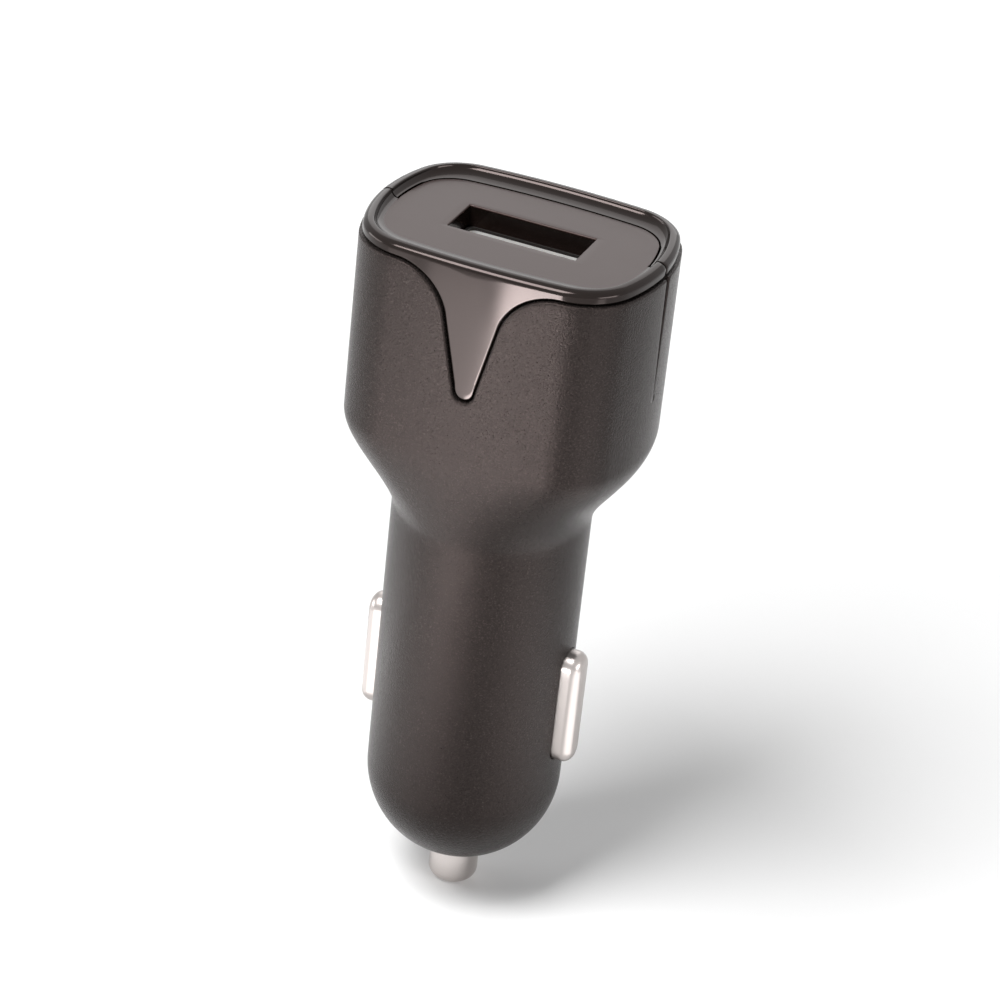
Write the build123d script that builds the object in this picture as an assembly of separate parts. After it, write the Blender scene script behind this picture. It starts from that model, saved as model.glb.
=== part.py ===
from build123d import *
import os
from math import cos, pi, radians, sin, sqrt, tan

# Car charger plug with one socket. Millimetres, +Z along the plug from the centre contact's tip (z = 0)
# to the socket face, the front with the gloss tongue looks to -Y, the side contacts lie on the X axis.

far = 40.0  # larger than the plug on every side

# Barrel and domed end
barrel_radius = 10.1
pin_reach = 4.4  # how far the centre contact stands out of the dome
wall = 1.7
dome_center_z = pin_reach + barrel_radius

# Head: an outline of eight tangent arcs that grows out of the round barrel
head_half_width = 15.3
head_half_depth = 11.5
head_side_radius = 88.0
head_end_radius = 20.3
head_corner_radius = 6.5
rim_top_z = 76.6
head_height = 20.4  # the head's upright part, up to the rim
shoulder_height = 10.7
shoulder_z = rim_top_z - head_height
neck_z = shoulder_z - shoulder_height
depth_lead = 0.6  # the depth and the flats grow out of the barrel sooner than the width
curve_lead = 0.5
shoulder_steps = 8
nearly_round = 0.01  # share at which the barrel's circle takes its arc ends

# Rim, socket plate and bowl between them
trim_height = 1.3
trim_edge_z = rim_top_z - trim_height  # where gloss trim meets the matte shell
trim_inset = 0.3  # gloss skin lies this far inside the matte skin
trim_gap = 0.15
rim_flat = 1.1
rim_edge_radius = 0.2
rim_rise = 0.8  # how far the rim stands above the plate
plate_z = rim_top_z - rim_rise
plate_thickness = 2.2
rim_end_width = 2.2
rim_side_width = 3.4
plate_half_width = head_half_width - rim_end_width
plate_half_depth = head_half_depth - rim_side_width
plate_gap = 0.2
bowl_steps = 4

# V tongue on the front
tongue_thickness = 0.8
vee_height = 14.2
vee_tip_z = rim_top_z - vee_height
vee_tip_radius = 1.0
vee_half_angle = 13.2
vee_shoulder_radius = 5.9

# Parting line of the two housing halves
seam_width = 0.3
seam_depth = 0.5
seam_height = 14.6
seam_end_z = rim_top_z - seam_height

# Ledge under the fascia
ledge_depth = 2.0
ledge_overhang = 1.3
seat_clearance = 0.05
seat_wall = 1.85

# Centre contact, its guide tube, spring and terminal
pin_radius = 2.58
pin_end_fillet = 1.3
pin_clearance = 0.07
pin_flange_radius = 4.1
pin_flange_thickness = 1.2
pin_spigot_radius = 1.6
pin_spigot_length = 1.8
floor_z = 6.6
guide_radius = 4.25
guide_wall = 1.1
guide_to_board = 0.2
terminal_z = 16.0
terminal_peg_length = 1.0
terminal_thickness = 0.4
terminal_radius = 4.85
terminal_room = 0.03
terminal_tab_width = 2.4
terminal_tab_length = 5.0
tip_spring_radius = 2.45
tip_spring_wire = 0.25
tip_spring_turns = 5

# Side contacts, their springs and bracket
contact_center_z = 24.95
contact_length = 13.0
contact_width = 3.4
contact_stand_out = 1.85
contact_reach = barrel_radius + contact_stand_out
contact_top_z = contact_center_z + contact_length / 2.0
contact_fillet = 1.1
contact_clearance = 0.08
window_overcut = 2.0
window_depth = contact_stand_out + wall + window_overcut
flange_overhang = 0.7
flange_thickness = 0.8
flange_sink = 2.2
flange_face_x = barrel_radius - flange_sink
spring_pocket_depth = 2.55
spring_pocket_x = contact_reach - spring_pocket_depth
spring_pocket_radius = 1.25
side_spring_radius = 0.95
side_spring_wire = 0.15
side_spring_turns = 6
bracket_half_width = 2.6
bracket_sheet = 0.4
bracket_depth = 2.2
bracket_height = 9.0
bracket_lug_width = 1.6
bracket_boss_radius = 0.6
bracket_boss_length = 1.0

# Circuit board, standing just behind the socket
board_front_y = 2.88
board_thickness = 1.2
board_low_z = 17.6
board_top_room = 4.5
board_high_z = plate_z - board_top_room
board_side_room = 3.3
board_half_width = barrel_radius - board_side_room
board_head_room = 5.8
board_head_half_width = head_half_width - board_head_room
board_step_drop = 3.2
board_step_z = shoulder_z - board_step_drop
lead_clearance = 0.05
lead_reach = 0.8  # how far leads stand out behind the board

# USB-A socket
slot_width = 13.3
slot_depth = 5.4
socket_inner_width = 12.5
socket_inner_depth = 5.12
socket_sheet = 0.3
socket_corner = 0.8
socket_length = 14.0
socket_leg_drop = 9.8
socket_leg_z = plate_z - socket_leg_drop
socket_leg_width = 1.8
socket_leg_root_y = 1.4
socket_base_length = 3.0
blade_sink = 3.5
blade_tip_z = plate_z - blade_sink
blade_width = 11.1
blade_back_y = -1.95
blade_depth = 1.84
strip_width = 1.0
strip_thickness = 0.25
strip_proud = 0.1
strip_tip_gap = 1.0
strip_places = (-3.5, -1.0, 1.0, 3.5)
strip_tail = 1.4  # how far the strips' feet lie below the socket
strip_foot_z = plate_z - plate_thickness - socket_length - strip_tail

# Larger parts on the board: two cans with a choke between them share the room from the contacts to the socket
stack_room = 1.0
stack_low_z = contact_top_z + stack_room
stack_gap = 2.85
stack_length = strip_foot_z - stack_gap - stack_low_z
capacitor_share = 0.1376  # radius as a share of that room
choke_share = 0.1747
choke_place = 0.526
choke_z = stack_low_z + choke_place * stack_length
choke_radius = choke_share * stack_length
choke_height = 5.4
choke_flange = 0.9
choke_neck_radius = 1.8
winding_sink = 0.5
winding_radius = choke_radius - winding_sink
capacitor_radius = capacitor_share * stack_length
input_capacitor_z = stack_low_z + capacitor_radius
input_capacitor_length = 9.0
output_capacitor_z = stack_low_z + stack_length - capacitor_radius
output_capacitor_length = 11.0
can_groove_offset = 1.6
can_groove_width = 0.6
can_groove_depth = 0.25
can_edge = 0.3
can_lead_radius = 0.3
can_lead_pitch = 0.8 * capacitor_radius
can_lead_run = 0.8
can_lead_bend = 0.5

# Small parts on the back of the board: x, z, width, length, height
converter_place = (0.0, stack_low_z + 0.42 * stack_length, 4.0, 5.0, 1.5)
diode_place = (0.0, stack_low_z + 0.72 * stack_length, 4.4, 3.6, 2.1)
fuse_place = (0.0, stack_low_z, 3.0, 1.5, 0.7)
sense_place = (-4.5, stack_low_z + stack_length, 1.6, 2.9, 1.1)
chip_capacitor_places = (
    (-2.4, input_capacitor_z, 1.6, 3.2, 1.2),
    (4.6, stack_low_z + stack_length, 1.6, 3.2, 1.2),
)
chip_resistor_places = (
    (4.4, input_capacitor_z, 1.25, 2.0, 0.5),
    (4.4, diode_place[1] - 2.0, 1.25, 2.0, 0.5),
)
chip_leg = 0.45
chip_leg_count = 4
end_cap = 0.4

# Ribs, bosses and pins that join the halves
rib_thickness = 1.4
rib_bite = 1.3
rib_clearance = 0.06
boss_radius = 1.5
boss_pin_radius = 0.7
boss_pin_length = 2.0
boss_pin_clearance = 0.06
barrel_boss_z = (contact_top_z + neck_z) / 2.0
barrel_boss_inset = 2.8
barrel_boss_length = 2.7
head_boss_inset = 3.5
head_boss_length = 8.0
low_boss_drop = 15.1
high_boss_drop = 8.6
boss_places = (
    (barrel_radius - barrel_boss_inset, barrel_boss_z, barrel_boss_length),
    (head_half_width - head_boss_inset, rim_top_z - low_boss_drop, head_boss_length),
    (head_half_width - head_boss_inset, rim_top_z - high_boss_drop, head_boss_length),
)
barrel_rib_rise = 0.8
head_rib_rise = 1.4
rib_places = (barrel_boss_z + boss_radius + barrel_rib_rise, shoulder_z + head_rib_rise)



def smooth_share(z):
    # 0 on the barrel, 1 on the head, with a soft start and end
    u = min(max((z - neck_z) / (shoulder_z - neck_z), 0.0), 1.0)
    return u * u * (3.0 - 2.0 * u)


def corner_arc(half_width, half_depth, side_radius, end_radius, corner_radius):
    # Centre of the arc that touches both the long side's arc and the end's arc, in the first quadrant
    side_center = Vector(0, half_depth - side_radius)
    end_center = Vector(half_width - end_radius, 0)
    span = (end_center - side_center).length
    to_side, to_end = side_radius - corner_radius, end_radius - corner_radius
    along = (to_side**2 - to_end**2 + span**2) / (2.0 * span)
    across = sqrt(to_side**2 - along**2)
    step = (end_center - side_center).normalized()
    center = side_center + step * along + Vector(step.Y, -step.X) * across
    side_touch = center + (center - side_center).normalized() * corner_radius
    end_touch = center + (center - end_center).normalized() * corner_radius
    return center, side_touch, end_touch


def outline_size(share):
    # Curvatures, not radii, are shared out between the round barrel and the head
    half_width = barrel_radius + (head_half_width - barrel_radius) * share
    half_depth = barrel_radius + (head_half_depth - barrel_radius) * share**depth_lead
    curved = share**curve_lead
    radii = [
        1.0 / ((1.0 - curved) / barrel_radius + curved / head_radius)
        for head_radius in (head_side_radius, head_end_radius, head_corner_radius)
    ]
    return half_width, half_depth, radii


def outline_wire(half_width, half_depth, side_touch, corner_mid, end_touch, z):
    # Eight arcs: two ends, two long sides and four corners
    def at(point, across, along):
        return (point[0] * across, point[1] * along, z)

    end, side = (half_width, 0.0), (0.0, half_depth)
    edges = []
    for across, along in ((1, 1), (-1, 1), (-1, -1), (1, -1)):
        corner = (at(end_touch, across, along), at(corner_mid, across, along), at(side_touch, across, along))
        edges.append(ThreePointArc(*corner))
    for across in (1, -1):
        edges.append(ThreePointArc(at(end_touch, across, -1), at(end, across, 1), at(end_touch, across, 1)))
    for along in (1, -1):
        edges.append(ThreePointArc(at(side_touch, -1, along), at(side, 1, along), at(side_touch, 1, along)))
    return Wire(edges)


def outline(share, inset, z):
    # Level face of the outline between barrel (share 0) and head (share 1), pulled in by inset
    half_width, half_depth, radii = outline_size(max(share, nearly_round))
    center, side_touch, end_touch = corner_arc(half_width, half_depth, *radii)
    if share == 0.0:
        center, half_width, half_depth = Vector(0, 0), barrel_radius, barrel_radius
        corner_radius = barrel_radius - inset
        toward_side, toward_end = side_touch.normalized(), end_touch.normalized()
    else:
        corner_radius = radii[2] - inset
        toward_side, toward_end = (side_touch - center).normalized(), (end_touch - center).normalized()
    toward_mid = (toward_side + toward_end).normalized()
    touches = [center + direction * corner_radius for direction in (toward_side, toward_mid, toward_end)]
    side_touch, corner_mid, end_touch = [(point.X, point.Y) for point in touches]
    return Face(outline_wire(half_width - inset, half_depth - inset, side_touch, corner_mid, end_touch, z))


def prism(face, height):
    return extrude(face, amount=height, dir=(0, 0, 1))


def head_prism(inset, low, high):
    # Upright prism of the head's outline, pulled in by inset
    return prism(outline(1.0, inset, low), high - low)


def body(inset, top):
    # Solid plug shape, pulled in by inset and cut level at top
    radius = barrel_radius - inset
    steps = [k / shoulder_steps for k in range(shoulder_steps + 1)]
    levels = [neck_z + (shoulder_z - neck_z) * step for step in steps]
    sections = [outline(smooth_share(z), inset, z) for z in levels]
    shoulder = loft(sections)
    low_z = dome_center_z - radius
    corner = Polyline((radius, 0, dome_center_z), (radius, 0, neck_z), (0, 0, neck_z), (0, 0, low_z))
    middle = (radius * sin(pi / 4.0), 0, dome_center_z - radius * cos(pi / 4.0))
    dome = ThreePointArc((0, 0, dome_center_z - radius), middle, (radius, 0, dome_center_z))
    barrel = revolve(make_face(corner.edges() + [dome]), Axis.Z)
    return barrel + shoulder + head_prism(inset, shoulder_z, top)


def block(x0, x1, y0, y1, z0, z1):
    center = ((x0 + x1) / 2.0, (y0 + y1) / 2.0, (z0 + z1) / 2.0)
    return Pos(*center) * Box(abs(x1 - x0), abs(y1 - y0), abs(z1 - z0))


def plate_box(width, depth, height, x, y0, z):
    # Block centred on x and z whose back lies on the plane y0
    return block(x - width / 2.0, x + width / 2.0, y0, y0 + depth, z - height / 2.0, z + height / 2.0)


def upright(radius, low, high):
    return Pos(0, 0, (low + high) / 2.0) * Cylinder(radius, high - low)


def rod_x(radius, x0, x1, y, z):
    return Pos((x0 + x1) / 2.0, y, z) * Rot(0, 90, 0) * Cylinder(radius, abs(x1 - x0))


def rod_y(radius, y0, y1, x, z):
    return Pos(x, (y0 + y1) / 2.0, z) * Rot(90, 0, 0) * Cylinder(radius, abs(y1 - y0))


def front_half():
    return block(-far, far, -far, 0, -far, 3 * far)


def rear_half():
    return block(-far, far, 0, far, -far, 3 * far)


def seam_groove():
    # Hairline gap between the halves, open at the top and closing at seam_end_z
    half = seam_width / 2.0
    wedge = Polyline((0, seam_end_z), (half, rim_top_z), (-half, rim_top_z), close=True)
    blade = extrude(Plane.YZ * make_face(wedge), amount=far, both=True)
    return blade - head_prism(seam_depth, seam_end_z, rim_top_z)


def vee_face(gap):
    # Front view of the gloss skin: everything above the trim edge, and the tongue that hangs from it
    lean = radians(vee_half_angle)
    radius = vee_tip_radius + gap
    sharp_z = vee_tip_z - gap + radius - radius / sin(lean)
    edge_z = trim_edge_z - gap
    knee = (edge_z - sharp_z) * tan(lean)
    above = ((far, edge_z), (far, far * 3), (-far, far * 3), (-far, edge_z))
    outline_line = Polyline((-knee, edge_z), (0, sharp_z), (knee, edge_z), *above, close=True)
    face = make_face(outline_line)
    tip = [v for v in face.vertices() if abs(v.Y - sharp_z) < 0.01]
    face = fillet(tip, radius)
    knees = [v for v in face.vertices() if abs(v.Y - edge_z) < 0.01 and abs(v.X) < far / 2.0]
    return fillet(knees, vee_shoulder_radius - gap)


def vee_prism(gap, front):
    # The gloss outline carried through the front or the rear half
    amount = far if front else -far
    return extrude(Plane.XZ * vee_face(gap), amount=amount)


def bowl():
    # Quarter-round hollow from the socket plate up to the rim's inner edge, and everything above it
    rim_inner_width = head_half_width - trim_inset - rim_flat
    rim_inner_depth = head_half_depth - trim_inset - rim_flat
    rise = rim_top_z - plate_z
    sections = []
    for k in range(bowl_steps + 1):
        angle = pi / 2.0 * k / bowl_steps
        share = sin(angle)
        half_width = plate_half_width + (rim_inner_width - plate_half_width) * share
        half_depth = plate_half_depth + (rim_inner_depth - plate_half_depth) * share
        sections.append(plate_outline(half_width, half_depth, plate_z + rise * (1.0 - cos(angle))))
    cove = loft(sections)
    return cove + prism(plate_outline(rim_inner_width, rim_inner_depth, rim_top_z), rise)


def plate_outline(half_width, half_depth, z):
    # Same family of outline as the head's, at the plate's own width and depth
    shrink = head_half_width - half_width
    side = head_side_radius - shrink
    end = head_end_radius - shrink
    corner = head_corner_radius - shrink
    center, side_touch, end_touch = corner_arc(half_width, half_depth, side, end, corner)
    mid = center + ((side_touch - center) + (end_touch - center)).normalized() * corner
    places = [(place.X, place.Y) for place in (side_touch, mid, end_touch)]
    return Face(outline_wire(half_width, half_depth, *places, z))


def pill(length, width, face_x, depth):
    # Upright rounded bar on the right side, from face_x inwards by depth
    plane = Plane(origin=(face_x, 0, contact_center_z), x_dir=(0, 0, 1), z_dir=(-1, 0, 0))
    return extrude(plane * SlotOverall(length, width), amount=depth)


# Heights and planes that several pieces share
seat_z = plate_z - plate_thickness
ledge_z = seat_z - ledge_depth
shell_top_z = trim_edge_z - trim_gap
guide_top_z = board_low_z - guide_to_board
board_back_y = board_front_y + board_thickness
lead_end_y = board_back_y + lead_reach
spring_seat_z = floor_z + pin_flange_thickness
bracket_low_z = contact_center_z - bracket_height / 2.0
bracket_top_z = contact_center_z + bracket_height / 2.0
socket_low_z = seat_z - socket_length


def board_guides():
    # Ribs on the rear half that hold the board by its edges
    ribs = []
    for low in rib_places:
        edge = board_half_width if low < board_step_z else board_head_half_width
        web = prism(outline(smooth_share(low), wall / 2.0, low), rib_thickness)
        middle = edge - rib_bite
        web -= block(-middle, middle, -far, far, low - 1.0, low + 3.0)
        web -= block(-far, far, -far, board_front_y - 1.0, low - 1.0, low + 3.0)
        slot = edge + rib_clearance
        front_y, back_y = board_front_y - rib_clearance, board_back_y + rib_clearance
        web -= block(-slot, slot, front_y, back_y, low - 1.0, low + 3.0)
        ribs.append(web)
    return ribs


def boss(x, z, length, front):
    # Post on the inside of one half, up to the parting plane
    across = -1.0 if front else 1.0
    post = rod_y(boss_radius, 0.0, across * length, x, z)
    if front:
        return post + rod_y(boss_pin_radius, 0.0, boss_pin_length, x, z)
    return post - rod_y(boss_pin_radius + boss_pin_clearance, 0.0, boss_pin_length + 0.1, x, z)


def tip_guide():
    # Floor that the centre contact's flange rests on, and the tube round its spring
    fill = upright(guide_radius + guide_wall, pin_reach, guide_top_z)
    fill &= Pos(0, 0, dome_center_z) * Sphere(barrel_radius - wall / 2.0)
    return fill - upright(guide_radius, floor_z, guide_top_z + 1.0)


def housing_half(front):
    # Matte half shell: wall, fascia ledge, spring guide, windows, tongue recess, bosses and ribs
    shell = body(0.0, shell_top_z) - body(wall, ledge_z)
    shell -= head_prism(seat_wall + ledge_overhang, ledge_z - 0.1, seat_z)
    shell -= head_prism(seat_wall, seat_z, trim_edge_z)
    shell -= upright(guide_radius, floor_z, dome_center_z)
    shell += tip_guide()
    shell &= front_half() if front else rear_half()
    shell -= upright(pin_radius + pin_clearance, 0.0, floor_z + 0.1)
    disc_low, disc_high = terminal_z - terminal_room, terminal_z + terminal_thickness + terminal_room
    shell -= upright(terminal_radius + terminal_room, disc_low, disc_high)
    room = 2.0 * contact_clearance
    window = pill(contact_length + room, contact_width + room, contact_reach, window_depth)
    shell -= window + mirror(window, Plane.YZ)
    skin = trim_inset + tongue_thickness + seat_clearance
    shell -= vee_prism(trim_gap, front) - head_prism(skin, shoulder_z, rim_top_z)
    for x, z, length in boss_places:
        for side in (-1.0, 1.0):
            post = boss(side * x, z, length, front)
            if not front:
                shell -= rod_y(boss_pin_radius + boss_pin_clearance, 0.0, boss_pin_length + 0.1, side * x, z)
            shell += post
    if not front:
        for rib in board_guides():
            shell += rib
    return shell - seam_groove()


def trim_blank():
    # Rim and the part of the cover that drops inside the shell, before the bowl is hollowed
    rim = head_prism(trim_inset, trim_edge_z, rim_top_z)
    rim = fillet(rim.edges().group_by(Axis.Z)[-1], rim_edge_radius)
    return rim + head_prism(seat_wall + seat_clearance, seat_z, trim_edge_z) - bowl()


def tongue(front):
    # Gloss inlay that hangs from the rim, flush with it
    skin = head_prism(trim_inset, shoulder_z, trim_edge_z)
    skin -= head_prism(trim_inset + tongue_thickness, shoulder_z, trim_edge_z)
    return skin & vee_prism(0.0, front)


def fascia():
    cover = trim_blank() & front_half()
    cover += prism(plate_outline(plate_half_width, plate_half_depth, seat_z), plate_thickness)
    cover += tongue(True)
    half_width, half_depth = slot_width / 2.0, slot_depth / 2.0
    return cover - block(-half_width, half_width, -half_depth, half_depth, seat_z - 1.0, rim_top_z)


def rear_trim():
    rim = trim_blank() & rear_half()
    rim -= prism(plate_outline(plate_half_width + plate_gap, plate_half_depth + plate_gap, seat_z - 1.0), far)
    return rim + tongue(False)


def center_contact():
    pin = fillet(upright(pin_radius, 0.0, floor_z).edges().group_by(Axis.Z)[0], pin_end_fillet)
    flange = upright(pin_flange_radius, floor_z, spring_seat_z)
    return pin + flange + upright(pin_spigot_radius, spring_seat_z, spring_seat_z + pin_spigot_length)


def coil(radius, wire, turns, low, high):
    # Spring along +Z whose wire just clears the planes low and high
    height = high - low - 2.0 * wire - 0.04
    path = Pos(0, 0, low + wire + 0.02) * Helix(height / turns, height, radius)
    profile = Plane(origin=path @ 0, z_dir=path % 0) * Circle(wire)
    return sweep(profile, path=path, is_frenet=True)


def tip_terminal():
    # Disc held in the guide tube, with a peg for the spring and a tab along the board
    disc = upright(terminal_radius, terminal_z, terminal_z + terminal_thickness)
    disc += upright(pin_spigot_radius, terminal_z - terminal_peg_length, terminal_z)
    half = terminal_tab_width / 2.0
    front_y = board_front_y - terminal_thickness
    low = terminal_z + terminal_thickness
    return disc + block(-half, half, front_y, board_front_y, low, low + terminal_tab_length)


def right_contact():
    cap = pill(contact_length, contact_width, contact_reach, contact_reach - flange_face_x)
    cap = fillet(cap.edges().group_by(Axis.X)[-1], contact_fillet)
    overhang = 2.0 * flange_overhang
    cap += pill(contact_length + overhang, contact_width + overhang, flange_face_x, flange_thickness)
    return cap - rod_x(spring_pocket_radius, 0.0, spring_pocket_x, 0.0, contact_center_z)


def right_spring():
    ends = (bracket_half_width, spring_pocket_x)
    spring = coil(side_spring_radius, side_spring_wire, side_spring_turns, *ends)
    return Pos(0, 0, contact_center_z) * Rot(0, 90, 0) * spring


def ground_bracket():
    # Bent strip behind both side contacts, plugged into the board by its lug
    half = bracket_half_width
    high = bracket_top_z + bracket_sheet
    strip = block(-half, half, -bracket_depth, board_front_y, bracket_top_z, high)
    lug = bracket_lug_width / 2.0
    strip += block(-lug, lug, board_front_y, lead_end_y, bracket_top_z, high)
    for side in (-1.0, 1.0):
        outer, inner = side * half, side * (half - bracket_sheet)
        strip += block(inner, outer, -bracket_depth, bracket_depth, bracket_low_z, bracket_top_z)
        strip += rod_x(bracket_boss_radius, outer, outer + side * bracket_boss_length, 0.0, contact_center_z)
    return strip


def can_leads(side, length, z, radius):
    # Two leads that leave one end of a lying capacitor and bend into the board
    leads = []
    y = board_front_y - capacitor_radius
    start_x = side * length / 2.0
    end_x = start_x + side * can_lead_run
    for step in (-0.5, 0.5):
        lead_z = z + step * can_lead_pitch
        turns = ((start_x, y, lead_z), (end_x, y, lead_z), (end_x, lead_end_y, lead_z))
        path = FilletPolyline(*turns, radius=can_lead_bend)
        leads.append(sweep(Plane(origin=path @ 0, z_dir=path % 0) * Circle(radius), path=path))
    return leads


def capacitor(side, length, z):
    # Lying can with a rolled groove near the end that its leads leave
    y = board_front_y - capacitor_radius
    can = rod_x(capacitor_radius, -length / 2.0, length / 2.0, y, z)
    can = fillet(can.edges().filter_by(GeomType.CIRCLE), can_edge)
    near = side * (length / 2.0 - can_groove_offset)
    ends = (near - side * can_groove_width, near)
    groove = rod_x(capacitor_radius + 1.0, *ends, y, z)
    groove -= rod_x(capacitor_radius - can_groove_depth, *ends, y, z)
    can -= groove
    for lead in can_leads(side, length, z, can_lead_radius):
        can += lead
    return can


def inductor_core():
    # Drum core standing on the board, axis through the plug
    low, high = board_front_y - choke_height, board_front_y
    core = rod_y(choke_neck_radius, low, high, 0.0, choke_z)
    core += rod_y(choke_radius, low, low + choke_flange, 0.0, choke_z)
    return core + rod_y(choke_radius, high - choke_flange, high, 0.0, choke_z)


def inductor_winding():
    low, high = board_front_y - choke_height + choke_flange, board_front_y - choke_flange
    coil_ring = rod_y(winding_radius, low, high, 0.0, choke_z)
    return coil_ring - rod_y(choke_neck_radius, low - 1.0, high + 1.0, 0.0, choke_z)


def legged_chip(place):
    # Moulded chip on rows of legs at both sides
    x, z, width, length, height = place
    chip = plate_box(width, height - 0.1, length, x, board_back_y + 0.1, z)
    pitch = length / chip_leg_count
    for k in range(chip_leg_count):
        leg_z = z + (k - (chip_leg_count - 1) / 2.0) * pitch
        chip += plate_box(width + 2.0 * chip_leg, 0.2, pitch / 2.0, x, board_back_y, leg_z)
    return chip


def capped_chip(place):
    # Small body between two slightly larger metal ends
    x, z, width, length, height = place
    chip = plate_box(width, height, length, x, board_back_y, z)
    for end in (-0.5, 0.5):
        chip += plate_box(width + 0.1, height + 0.05, end_cap, x, board_back_y, z + end * (length - end_cap))
    return chip


def socket_bar(skin, low, high):
    # Rounded bar that fits inside the socket, grown on all sides by skin
    width = socket_inner_width + 2.0 * skin
    depth = socket_inner_depth + 2.0 * skin
    return prism(Pos(0, 0, low) * RectangleRounded(width, depth, socket_corner + skin), high - low)


def socket_leg(side, clearance):
    outer = socket_inner_width / 2.0 + socket_sheet + clearance
    inner = socket_inner_width / 2.0 - clearance
    half = socket_leg_width / 2.0 + clearance
    low, high = socket_leg_z - half, socket_leg_z + half
    return block(side * inner, side * outer, socket_leg_root_y, lead_end_y, low, high)


def usb_shell():
    shell = socket_bar(socket_sheet, socket_low_z, seat_z) - socket_bar(0.0, socket_low_z, seat_z)
    return shell + socket_leg(-1.0, 0.0) + socket_leg(1.0, 0.0)


def usb_contact(x, clearance=0.0):
    # Strip along the socket's tongue, bent at its foot into the board
    half = strip_width / 2.0 + clearance
    face_y = blade_back_y + blade_depth + strip_proud + clearance
    back_y = face_y - strip_thickness - 2.0 * clearance
    strip = block(x - half, x + half, back_y, face_y, strip_foot_z, blade_tip_z - strip_tip_gap)
    foot_top = strip_foot_z + strip_thickness + clearance
    return strip + block(x - half, x + half, back_y, lead_end_y, strip_foot_z - clearance, foot_top)


def usb_insulator():
    insulator = socket_bar(0.0, socket_low_z, socket_low_z + socket_base_length)
    half = blade_width / 2.0
    insulator += block(-half, half, blade_back_y, blade_back_y + blade_depth, socket_low_z, blade_tip_z)
    for x in strip_places:
        insulator -= usb_contact(x)
    return insulator


def circuit_board():
    board = block(-board_half_width, board_half_width, board_front_y, board_back_y, board_low_z, board_step_z)
    half = board_head_half_width
    board += block(-half, half, board_front_y, board_back_y, board_step_z, board_high_z)
    for x in strip_places:
        board -= usb_contact(x, lead_clearance)
    for side in (-1.0, 1.0):
        board -= socket_leg(side, lead_clearance)
    radius = can_lead_radius + lead_clearance
    for lead in can_leads(-1.0, input_capacitor_length, input_capacitor_z, radius):
        board -= lead
    for lead in can_leads(1.0, output_capacitor_length, output_capacitor_z, radius):
        board -= lead
    half = bracket_lug_width / 2.0 + lead_clearance
    low, high = bracket_top_z - lead_clearance, bracket_top_z + bracket_sheet + lead_clearance
    return board - block(-half, half, 0.0, far, low, high)


pieces = {
    "front_shell": housing_half(True),
    "rear_shell": housing_half(False),
    "fascia": fascia(),
    "rear_trim": rear_trim(),
    "center_contact": center_contact(),
    "right_contact": right_contact(),
    "left_contact": mirror(right_contact(), Plane.YZ),
    "tip_spring": coil(tip_spring_radius, tip_spring_wire, tip_spring_turns, spring_seat_z, terminal_z),
    "right_spring": right_spring(),
    "left_spring": mirror(right_spring(), Plane.YZ),
    "tip_terminal": tip_terminal(),
    "ground_bracket": ground_bracket(),
    "circuit_board": circuit_board(),
    "usb_shell": usb_shell(),
    "usb_insulator": usb_insulator(),
    "inductor_core": inductor_core(),
    "inductor_winding": inductor_winding(),
    "input_capacitor": capacitor(-1.0, input_capacitor_length, input_capacitor_z),
    "output_capacitor": capacitor(1.0, output_capacitor_length, output_capacitor_z),
    "converter_chip": legged_chip(converter_place),
    "sense_chip": legged_chip(sense_place),
    "diode": capped_chip(diode_place),
    "fuse": capped_chip(fuse_place),
}
for number, x in enumerate(strip_places, start=1):
    pieces[f"usb_contact_{number}"] = usb_contact(x)
for number, place in enumerate(chip_capacitor_places, start=1):
    pieces[f"chip_capacitor_{number}"] = capped_chip(place)
for number, place in enumerate(chip_resistor_places, start=1):
    pieces[f"chip_resistor_{number}"] = capped_chip(place)

os.makedirs("parts", exist_ok=True)
for name, piece in pieces.items():
    export_step(piece, f"parts/{name}.step")
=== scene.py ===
import math

import bmesh
import bpy
import numpy as np
from mathutils import Matrix, Vector


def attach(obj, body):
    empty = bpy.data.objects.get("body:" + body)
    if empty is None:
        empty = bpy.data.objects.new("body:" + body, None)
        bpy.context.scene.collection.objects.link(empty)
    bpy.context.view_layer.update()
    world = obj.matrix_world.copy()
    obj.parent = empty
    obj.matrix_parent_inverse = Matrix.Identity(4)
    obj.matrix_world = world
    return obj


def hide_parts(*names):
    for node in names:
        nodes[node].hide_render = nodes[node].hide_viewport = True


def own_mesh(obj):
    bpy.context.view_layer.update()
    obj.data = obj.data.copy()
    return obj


mm = 0.001
weldDistance = 0.0015  # mm: points nearer than this are one point
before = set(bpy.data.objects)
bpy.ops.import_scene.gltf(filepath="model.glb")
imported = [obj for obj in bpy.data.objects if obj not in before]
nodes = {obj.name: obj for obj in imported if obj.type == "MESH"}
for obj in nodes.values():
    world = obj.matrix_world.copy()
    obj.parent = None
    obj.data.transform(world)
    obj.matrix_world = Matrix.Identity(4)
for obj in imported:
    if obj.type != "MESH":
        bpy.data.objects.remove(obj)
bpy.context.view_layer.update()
print("stage: frame loaded")


def softStep(t):  # 0 to 1 with level ends: 3t^2 - 2t^3
    t = np.clip(t, 0.0, 1.0)
    return t * t * (3.0 - 2.0 * t)


def gridFaces(rows, cols, first, wrapRows=False, wrapCols=False):
    # quads between neighbouring rows and columns of a grid of points
    r = np.arange(rows if wrapRows else rows - 1)
    c = np.arange(cols if wrapCols else cols - 1)
    r, c = np.meshgrid(r, c, indexing="ij")
    r2, c2 = (r + 1) % rows, (c + 1) % cols
    quads = np.stack([r * cols + c, r * cols + c2, r2 * cols + c2, r2 * cols + c], axis=-1)
    return quads.reshape(-1, 4) + first


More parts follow.
